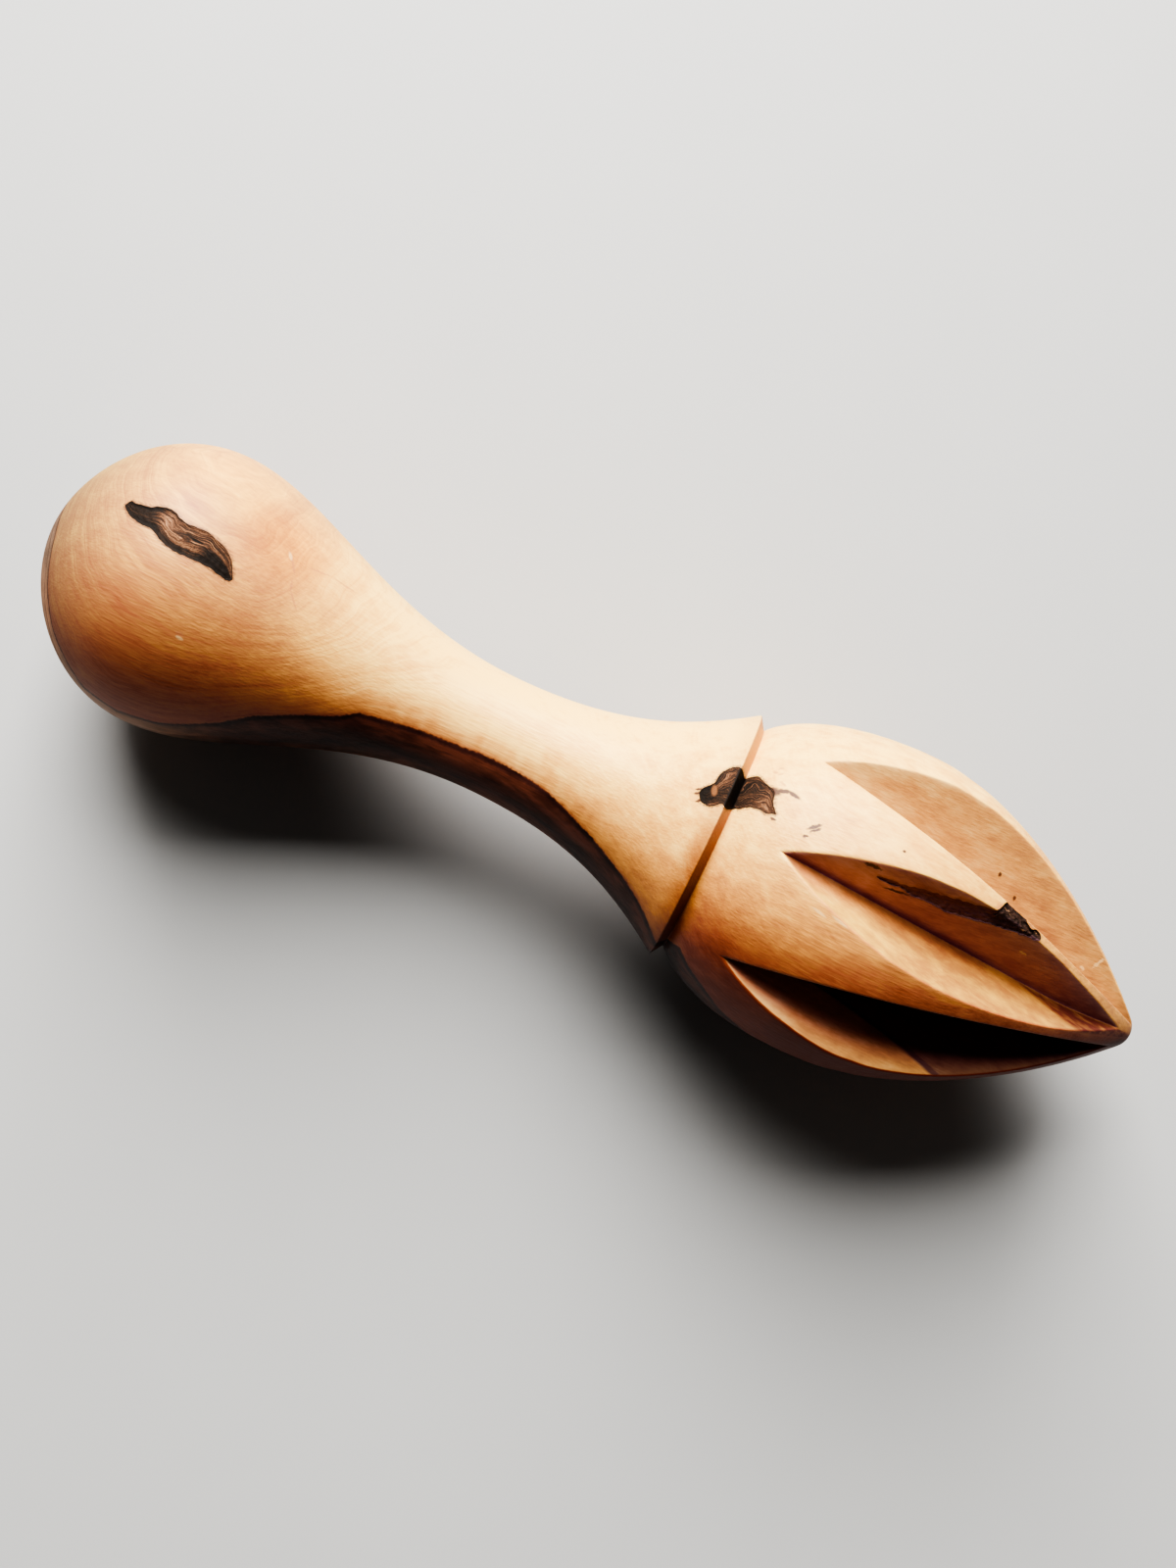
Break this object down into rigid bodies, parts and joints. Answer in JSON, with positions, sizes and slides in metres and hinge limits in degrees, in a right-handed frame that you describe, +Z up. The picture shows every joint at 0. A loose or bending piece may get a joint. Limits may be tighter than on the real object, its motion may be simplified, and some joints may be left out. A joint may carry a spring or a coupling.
{
  "type": "wooden citrus reamer",
  "caption": "Hand citrus reamer turned and fluted from one blank of figured wood, with a bulb handle, a waist, a sharp collar and a pointed ribbed head.",
  "frame": {"origin": "under the middle of the reamer, on the surface that it lies on", "axes": "+X along the reamer from the bulb towards the tip, +Z up, with the reamer lying on its side on the bulb and on two ribs of the head"},
  "size_m": [0.165, 0.0452, 0.0452],
  "materials": {
    "sapwood": "satin, oiled",
    "knot_wood": "satin, oiled",
    "bark": "matt, rough"
  },
  "bodies": {
    "root": {"turned_body": "sapwood", "handle_knot": "knot_wood", "collar_knot": "knot_wood", "flute_streak": "bark"}
  },
  "joints": []
}
